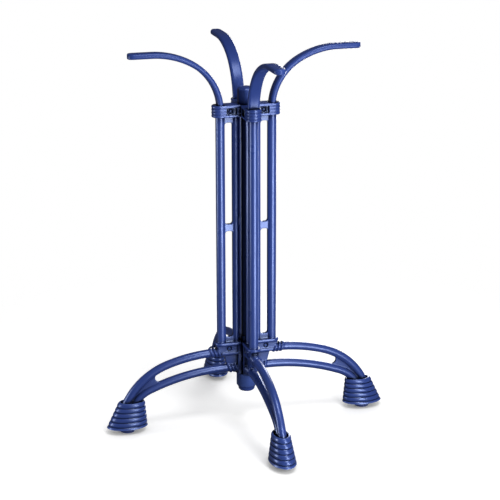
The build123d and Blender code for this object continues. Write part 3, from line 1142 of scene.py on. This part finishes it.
@dataclass
class RingedFoot:
    """A hollow foot of stacked rounded rings that shrink upward and inward round the leg's end."""

    circle_r: float = 234.5
    bottom: float = 6.0
    height: float = 53.0
    rings: int = 6
    ring_depth: float = 2.2
    ring_shares: tuple[float, ...] = (0.0, 0.06, 0.18, 0.34, 0.5, 0.66, 0.82, 0.94)
    base_length: float = 78.0
    base_width: float = 48.6
    top_length: float = 53.4
    top_width: float = 34.4
    top_shift: float = 8.6
    wall: float = 4.0
    floor: float = 11.0
    seat: float = 16.0
    rim_share: float = 0.45
    lip: float = 1.6
    lip_in: float = 0.6
    draw: float = 1.2
    inner_drops: Point = (14.0, 28.0)

    def level(self, z: float) -> tuple[float, float, float]:
        """Find the foot's centre and half sizes at a height, over its rings' crests.

        Args:
            z: The height.

        Returns:
            The centre's radius, half the length and half the width.
        """
        ring_h = self.height / self.rings
        share = (z - self.bottom - ring_h / 2) / (self.height - ring_h)
        return (
            self.circle_r - share * self.top_shift,
            (self.base_length + share * (self.top_length - self.base_length)) / 2,
            (self.base_width + share * (self.top_width - self.base_width)) / 2,
        )

    def build(self, paint: bpy.types.Material) -> None:
        """Dish the underside, raise the rings, turn the wall in and down, and copy the foot.

        Args:
            paint: The finish.
        """
        ring_h = self.height / self.rings
        # the underside rises from the glide's seat, so that the lowest ring has a thin rim
        levels = [(self.bottom, self.circle_r, self.seat, self.seat)]
        for ring in range(self.rings):
            for share in self.ring_shares:
                if ring == 0 and share < self.rim_share:
                    continue
                z = self.bottom + (ring + share) * ring_h
                back = stand_back(self.ring_depth, share)
                centre, length, width = self.level(z)
                limit = self.base_length / 2 - (centre - self.circle_r)
                levels.append((z, centre, min(length - back, limit), width - back))
        top = self.bottom + self.height
        centre, length, width = self.level(top)
        inner_l, inner_w = length - self.wall, width - self.wall
        levels.append((top, centre, length - self.lip, width - self.lip))
        levels.append((top, centre, inner_l + self.lip_in, inner_w + self.lip_in))
        levels.append((top - self.draw, centre, inner_l, inner_w))
        inset = self.wall + self.draw
        for z in (*(top - drop for drop in self.inner_drops), self.floor):
            centre, length, width = self.level(z)
            levels.append((z, centre, length - inset, width - inset))
        foot = circle("foot", 96, self.seat, (self.circle_r, 0, self.bottom))
        for (z0, r0, length0, width0), (z1, r1, length1, width1) in zip(levels, levels[1:]):
            extrude(r1 - r0, 0, z1 - z0)
            scale((length1 / length0, width1 / width0, 1), (r1, 0, z1))
        close_up(foot)
        smooth(foot, angle=60)
        dress(foot, paint)
        quarters(foot, "foot")


@dataclass
class Glide:
    """A round pad under the foot, with a stud up into the leg."""

    circle_r: float = 234.5
    diameter: float = 27.4
    height: float = 6.0
    stud_d: float = 8.0
    stud_l: float = 30.0
    edge: float = 1.4
    top_edge: float = 0.6
    stud_point: float = 1.0

    def build(self, plastic: bpy.types.Material) -> None:
        """Raise the pad and its stud from a circle, and copy the glide to its places.

        Args:
            plastic: The finish.
        """
        full = self.diameter / 2
        levels = [
            (0.0, full - self.edge),
            (self.edge * 0.3, full - self.edge * 0.3),
            (self.edge, full),
            (self.height - self.top_edge, full),
            (self.height, full - self.top_edge),
            (self.height, self.stud_d / 2),
            (self.height + self.stud_l - self.stud_point, self.stud_d / 2),
            (self.height + self.stud_l, self.stud_d / 2 - self.stud_point),
        ]
        glide = circle("glide", 48, levels[0][1], (self.circle_r, 0, 0))
        raise_round(levels, self.circle_r)
        close_up(glide)
        smooth(glide, angle=40)
        dress(glide, plastic)
        quarters(glide, "glide")


@dataclass
class CentreFittings:
    """What stands on the centre line: the eight-sided nut, the cap, the tie rod and the spiders."""

    nut_flats: float = 30.0
    nut_bottom: float = 617.7
    nut_h: float = 31.0
    nut_edge: float = 4.0
    nut_bevel: float = 1.0
    cap_d: float = 38.4
    cap_bottom: float = 59.0
    cap_top: float = 95.0
    cap_tip_d: float = 31.4
    cap_edge: float = 5.0
    cap_rim: float = 0.8
    cap_steps: int = 6
    shoulder_h: float = 11.0
    shoulder_turn: tuple[Point, ...] = ((1.0, 0.0), (0.0, 0.7), (-1.5, 2.0))

    def nut(self, paint: bpy.types.Material) -> None:
        """Raise the nut from an eight-sided outline and bevel its edges.

        Args:
            paint: The finish.
        """
        corner_r = self.nut_flats / 2 / math.cos(math.pi / 8)
        flat_on = (0, 0, math.pi / 8)
        nut = circle("top_nut_dressed", 8, corner_r, (0, 0, self.nut_bottom), flat_on)
        extrude(0, 0, self.nut_h - self.nut_edge)
        extrude(0, 0, self.nut_edge)
        share = 1 - 2 * self.nut_edge / self.nut_flats
        scale((share, share, 1), (0, 0, self.nut_bottom + self.nut_h))
        close_up(nut)
        finish_with(
            nut,
            "BEVEL",
            width=self.nut_bevel * MM,
            segments=3,
            limit_method="ANGLE",
            angle_limit=math.radians(25),
        )
        smooth(nut, angle=40)
        dress(nut, paint)
        settle(nut, "top_nut")

    def cap(self, paint: bpy.types.Material) -> None:
        """Lower the cap from a circle, with its rounded tip.

        Args:
            paint: The finish.
        """
        full, tip = self.cap_d / 2, self.cap_tip_d / 2
        levels = [(self.cap_top, full - self.cap_rim), (self.cap_top - self.cap_rim, full)]
        shoulder = self.cap_bottom + self.shoulder_h
        levels += [(shoulder + rise, full - back) for rise, back in self.shoulder_turn]
        for step in range(self.cap_steps + 1):
            turn = math.radians(90 * step / self.cap_steps)
            z = self.cap_bottom + self.cap_edge * (1 - math.sin(turn))
            levels.append((z, tip - self.cap_edge * (1 - math.cos(turn))))
        cap = circle("bottom_cap_dressed", 72, levels[0][1], (0, 0, self.cap_top))
        raise_round(levels)
        close_up(cap)
        smooth(cap, angle=35)
        dress(cap, paint)
        settle(cap, "bottom_cap")

    def build(self, paint: bpy.types.Material) -> None:
        """Make the nut and cap, and paint the rod and spiders that the frame already has."""
        self.nut(paint)
        self.cap(paint)
        for name in ("tie_rod", "top_spider", "bottom_spider"):
            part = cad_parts[name]
            part.data.materials.clear()
            part.data.materials.append(paint)
            LOG.info("%s: the packed solid, painted", name)


@dataclass
class ClampScrews:
    """The small round-headed bolts sunk in the collar and bracket cheeks, and their round nuts."""

    bolt_d: float = 4.0
    bolt_point: float = 0.4
    head_d: float = 6.6
    head_h: float = 2.2
    head_side: float = 0.45
    nut_bore_d: float = 4.4
    collar_place: Place = (31.5, 606.4, 6.3)
    bracket_place: Place = (36.0, 147.5, 5.8)

    def turned(self, name: str, rings: Sequence[Point], place: Place) -> bpy.types.Object:
        """Raise a round part along Y from its rings.

        Args:
            name: The new object's name.
            rings: Each ring's distance along Y from the centre plane and its radius.
            place: The bolt's radius and height, and the seat's distance from the centre plane.

        Returns:
            The part, in object mode.
        """
        r, z, _ = place
        part = circle(name, 36, rings[0][1], (r, rings[0][0], z), ALONG_Y)
        for (y0, r0), (y1, r1) in zip(rings, rings[1:]):
            extrude(0, y1 - y0, 0)
            scale((r1 / r0, 1, r1 / r0), (r, y1, z))
        return close_up(part)

    def dome(self, seat: float) -> list[Point]:
        """List the rings of a low domed head that stands on a seat."""
        head = self.head_d / 2
        side = self.head_side
        rings = [(seat, head), (seat + self.head_h * side, head)]
        for turn in (25, 50, 70, 84):
            rise, run = math.sin(math.radians(turn)), math.cos(math.radians(turn))
            rings.append((seat + self.head_h * (side + (1 - side) * rise), head * run))
        return rings

    def bolt(self, place: Place) -> bpy.types.Object:
        """Make one bolt with a domed head."""
        seat = place[2]
        shank, point = self.bolt_d / 2, self.bolt_point
        end = -seat - self.head_h
        rings = [(end, shank - point), (end + point, shank), (seat, shank), *self.dome(seat)]
        return self.turned("bolt", rings, place)

    def nut(self, place: Place) -> bpy.types.Object:
        """Make one round nut with a domed face and a bore."""
        seat = place[2]
        rings = [(-y, r) for y, r in self.dome(seat)]
        nut = self.turned("clamp_nut", rings, place)
        bore = self.nut_bore_d / 2
        cut(nut, self.turned("bore", [(-2 * seat, bore), (0, bore)], place))
        return nut

    def build(self, paint: bpy.types.Material) -> None:
        """Model a bolt and a nut for each pocket, turn copies to the quarters and join them."""
        for stem, maker in (("clamp_bolts", self.bolt), ("clamp_nuts", self.nut)):
            pair = join([maker(self.collar_place), maker(self.bracket_place)], f"{stem}_dressed")
            around = [pair]
            for quarter in (Quarter.REAR, Quarter.LEFT, Quarter.FRONT):
                copy = duplicate(pair)
                copy.data.transform(Matrix.Rotation(math.radians(quarter.value), 4, "Z"))
                around.append(copy)
            whole = join(around, f"{stem}_dressed")
            smooth(whole, angle=40)
            dress(whole, paint)
            settle(whole, stem)


@dataclass
class Studio:
    """A white room: pale floor that keeps the lamps' shadow and has a painted contact shadow, soft
    lamps and the camera.
    """

    azimuth: float = -15.816
    pitch: float = 16.708
    roll: float = -0.134
    place: Place = (-0.8113, -2.8639, 1.2483)
    lens: float = 119.74
    sensor: float = 36.0
    sees_to: float = 50.0
    shift_x: float = 0.00753
    shift_y: float = -0.01753
    floor_size: float = 12.0
    white_in_gloss: float = 0.06
    shadow_reach: float = 0.14
    shadow_glow: float = 0.05
    floor_glow: float = 0.68
    paper_as_light: float = 0.1
    paper_to_eye: float = 0.75
    fade_from: float = 0.45
    fade_to: float = 0.95
    room_light: float = 0.01

    def camera(self) -> None:
        """Set the camera where the photograph was taken from."""
        data = bpy.data.cameras.new("camera")
        data.lens = self.lens
        data.sensor_width = self.sensor
        data.shift_x = self.shift_x
        data.shift_y = self.shift_y
        data.clip_end = self.sees_to
        camera = bpy.data.objects.new("camera", data)
        bpy.context.collection.objects.link(camera)
        turn = Matrix.Rotation(math.radians(self.azimuth), 4, "Z")
        turn = turn @ Matrix.Rotation(math.radians(90 - self.pitch), 4, "X")
        turn = turn @ Matrix.Rotation(math.radians(self.roll), 4, "Z")
        camera.matrix_world = Matrix.Translation(self.place) @ turn
        bpy.context.scene.camera = camera

    def white_for(self, tree: bpy.types.NodeTree, path: bpy.types.Node) -> bpy.types.Node:
        """Tell how much of the white a ray is shown: all to the eye, a little in gloss.

        Args:
            tree: The node tree to add to.
            path: Its Light Path node.

        Returns:
            The node with the share of white.
        """
        eye = node(
            tree,
            "ShaderNodeMath",
            {"operation": "MAXIMUM"},
            in_0=path.outputs["Is Camera Ray"],
            in_1=path.outputs["Is Transmission Ray"],
        )
        return node(
            tree,
            "ShaderNodeMath",
            {"operation": "MULTIPLY_ADD"},
            in_0=path.outputs["Is Glossy Ray"],
            in_1=self.white_in_gloss,
            in_2=eye.outputs[0],
        )

    def floor(self) -> None:
        """Lay a pale floor that shows white in the light, keeps the lamps' shadow and glows less
        near the part, a painted contact shadow.
        """
        floor = start(
            "floor",
            bpy.ops.mesh.primitive_plane_add,
            size=self.floor_size,
            location=(0, 0, 0),
        )
        bpy.ops.object.mode_set(mode="OBJECT")
        material, tree = blank("white_paper_floor")
        path = node(tree, "ShaderNodeLightPath")
        seen = self.white_for(tree, path)
        # the floor's glow is dimmed where the part is near, by occlusion: a painted contact shadow
        floor_shadow_ao = node(
            tree, "ShaderNodeAmbientOcclusion", {"samples": SHADE_RAYS}, Distance=self.shadow_reach
        )
        shade = node(
            tree,
            "ShaderNodeMapRange",
            Value=floor_shadow_ao.outputs["AO"],
            To_Min=self.shadow_glow,
            To_Max=self.floor_glow,
        )
        level = node(
            tree,
            "ShaderNodeMath",
            {"operation": "MULTIPLY"},
            in_0=seen.outputs[0],
            in_1=shade.outputs["Result"],
        )
        # white to the eye, and grey as a light, so that the part keeps its dark underside
        pale = node(
            tree,
            "ShaderNodeMapRange",
            Value=path.outputs["Is Camera Ray"],
            To_Min=self.paper_as_light,
            To_Max=self.paper_to_eye,
        )
        paper = node(tree, "ShaderNodeBsdfDiffuse", Color=pale.outputs["Result"])
        glow = node(tree, "ShaderNodeEmission", Color=(1, 1, 1, 1), Strength=level.outputs[0])
        both = node(tree, "ShaderNodeAddShader", in_0=paper.outputs[0], in_1=glow.outputs[0])
        # the paper ends softly, and the white room shows beyond it
        place = node(tree, "ShaderNodeTexCoord").outputs["Object"]
        away = node(tree, "ShaderNodeVectorMath", {"operation": "LENGTH"}, in_0=place)
        fade = node(
            tree,
            "ShaderNodeMapRange",
            {"interpolation_type": "SMOOTHSTEP"},
            Value=away.outputs["Value"],
            From_Min=self.fade_from,
            From_Max=self.fade_to,
        )
        # and it is clear from below, so that the undersides of the feet can be seen
        below = node(tree, "ShaderNodeNewGeometry").outputs["Backfacing"]
        unseen = node(
            tree,
            "ShaderNodeMath",
            {"operation": "MAXIMUM"},
            in_0=fade.outputs["Result"],
            in_1=below,
        )
        clear = node(tree, "ShaderNodeBsdfTransparent")
        edge = node(
            tree,
            "ShaderNodeMixShader",
            in_0=unseen.outputs[0],
            in_1=both.outputs[0],
            in_2=clear.outputs[0],
        )
        node(tree, "ShaderNodeOutputMaterial", Surface=edge.outputs[0])
        floor.data.materials.append(material)

    def lamp(
        self, name: str, place: Sequence[float], aim: Sequence[float], size: Point, power: float
    ) -> None:
        """Hang a soft lamp with a flat face.

        Args:
            name: The lamp's name.
            place: Where it hangs, in metres.
            aim: What it faces, in metres.
            size: Its width and height, in metres.
            power: Its power in watts.
        """
        data = bpy.data.lights.new(name, "AREA")
        data.shape = "RECTANGLE"
        data.size, data.size_y = size
        data.energy = power
        lamp = bpy.data.objects.new(name, data)
        bpy.context.collection.objects.link(lamp)
        lamp.visible_camera = False
        lamp.location = place
        lamp.rotation_euler = (Vector(aim) - Vector(place)).to_track_quat("-Z", "Y").to_euler()

    def world(self) -> None:
        """Make the room white to the eye, faint in gloss and dim as a light."""
        world = bpy.data.worlds.new("white_room")
        bpy.context.scene.world = world
        world.use_nodes = True
        tree = world.node_tree
        tree.nodes.clear()
        seen = self.white_for(tree, node(tree, "ShaderNodeLightPath"))
        level = node(tree, "ShaderNodeMapRange", Value=seen.outputs[0], To_Min=self.room_light)
        sky = node(tree, "ShaderNodeBackground", Color=(1, 1, 1, 1), Strength=level.outputs[0])
        node(tree, "ShaderNodeOutputWorld", Surface=sky.outputs[0])

    def build(self) -> None:
        """Set the camera, floor, lamps and world."""
        bpy.context.scene.view_settings.view_transform = "Standard"
        self.camera()
        self.floor()
        self.world()
        self.lamp("low_key", (0.45, -1.17, 0.0), (0, 0, 0.3), (0.6, 0.6), 12.0)
        self.lamp("front_fill", (0.35, -1.3, 0.7), (0, 0, 0.1), (0.35, 0.6), 7.0)
        self.lamp("left_rim", (-1.28, 0.1, 0.3), (0, 0, 0.2), (0.3, 0.6), 5.0)
        self.lamp("high_fill", (0.3, -0.72, 1.9), (0, 0, 0.2), (0.6, 0.6), 14.0)
        self.lamp("back_fill", (0.75, 1.25, 0.45), (0, 0, 0.3), (0.5, 0.8), 12.0)
        LOG.info("studio: camera, floor, lamps and world")


def main() -> None:
    """Build every sub-assembly, dress it and set the studio."""
    logging.basicConfig(level=logging.INFO, format="%(message)s")
    casting_paint = StovedEnamel(
        "stoved_enamel_on_casting", corner_shade_full_at=0.6, corner_shade_none_at=0.97
    ).material()
    bar_paint = StovedEnamel(
        "stoved_enamel_on_bar", ior=1.5, gloss=0.5, grain_depth=0.002, peel_depth=0.006
    ).material()
    foot_paint = StovedEnamel("stoved_enamel_on_foot", roughness=0.31, corner_shade_full_at=0.7).material()
    nylon = MouldedNylon().material()
    LegCasting().build(casting_paint)
    TopArm().build(bar_paint)
    RingedFoot().build(foot_paint)
    Glide().build(nylon)
    CentreFittings().build(bar_paint)
    ClampScrews().build(bar_paint)
    Studio().build()


if __name__ == "__main__":
    main()
